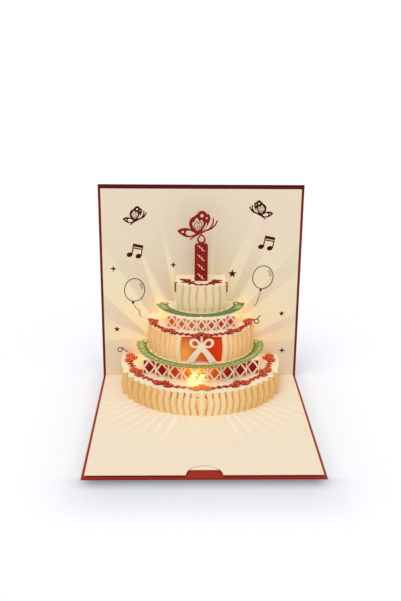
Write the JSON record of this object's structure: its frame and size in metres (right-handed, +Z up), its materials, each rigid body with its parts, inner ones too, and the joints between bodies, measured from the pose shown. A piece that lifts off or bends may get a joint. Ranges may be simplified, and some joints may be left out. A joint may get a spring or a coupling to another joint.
{
  "type": "pop-up card",
  "caption": "Folded card opened to a right angle with a three-tier paper cake, pierced bands, garlands, a candle topper, a light module and a pull-out message card.",
  "frame": {"origin": "middle of the underside of the cover's base half, which is the bottom centre of the part's box", "axes": "+Z up, +Y from the open front edge towards the standing back half, +X to the reader's right"},
  "size_m": [0.15, 0.152, 0.152],
  "materials": {
    "cover_board": "matt printed",
    "page_paper": "matt",
    "pocket_tape": "matt",
    "message_paper": "matt",
    "cake_paper": "matt",
    "backing_paper": "matt",
    "window_paper": "matt",
    "wreath_paper": "matt",
    "garland_paper": "matt",
    "candle_paper": "matt",
    "board_laminate": "semi-gloss",
    "cell_steel": "satin",
    "strap_steel": "satin",
    "chip_resin": "matt",
    "switch_film": "clear",
    "lamp_resin": "glossy"
  },
  "bodies": {
    "card": {"cover": "cover_board", "inner_page": "page_paper", "pocket_tapes": "pocket_tape", "bottom_tier": "cake_paper", "lower_band": "cake_paper", "lower_backing": "backing_paper", "lower_wreath": "wreath_paper", "lower_garland": "garland_paper", "middle_foot_ring": "cake_paper", "middle_tier": "cake_paper", "window_backing": "window_paper", "upper_band": "cake_paper", "upper_backing": "backing_paper", "upper_wreath": "wreath_paper", "middle_garland": "garland_paper", "top_foot_ring": "cake_paper", "top_tier": "cake_paper", "top_garland": "garland_paper", "candle_topper": "candle_paper", "circuit_board": "board_laminate", "button_cells": "cell_steel", "cell_strap": "strap_steel", "control_chip": "chip_resin", "switch_tongue": "switch_film", "lamp_board": "board_laminate", "lamps": "lamp_resin"},
    "message": {"message_card": "message_paper"}
  },
  "joints": [
    {"name": "message_slide", "type": "slide", "parent": "card", "child": "message", "axis": [0, -1, 0], "range_m": [0, 0.11]}
  ]
}
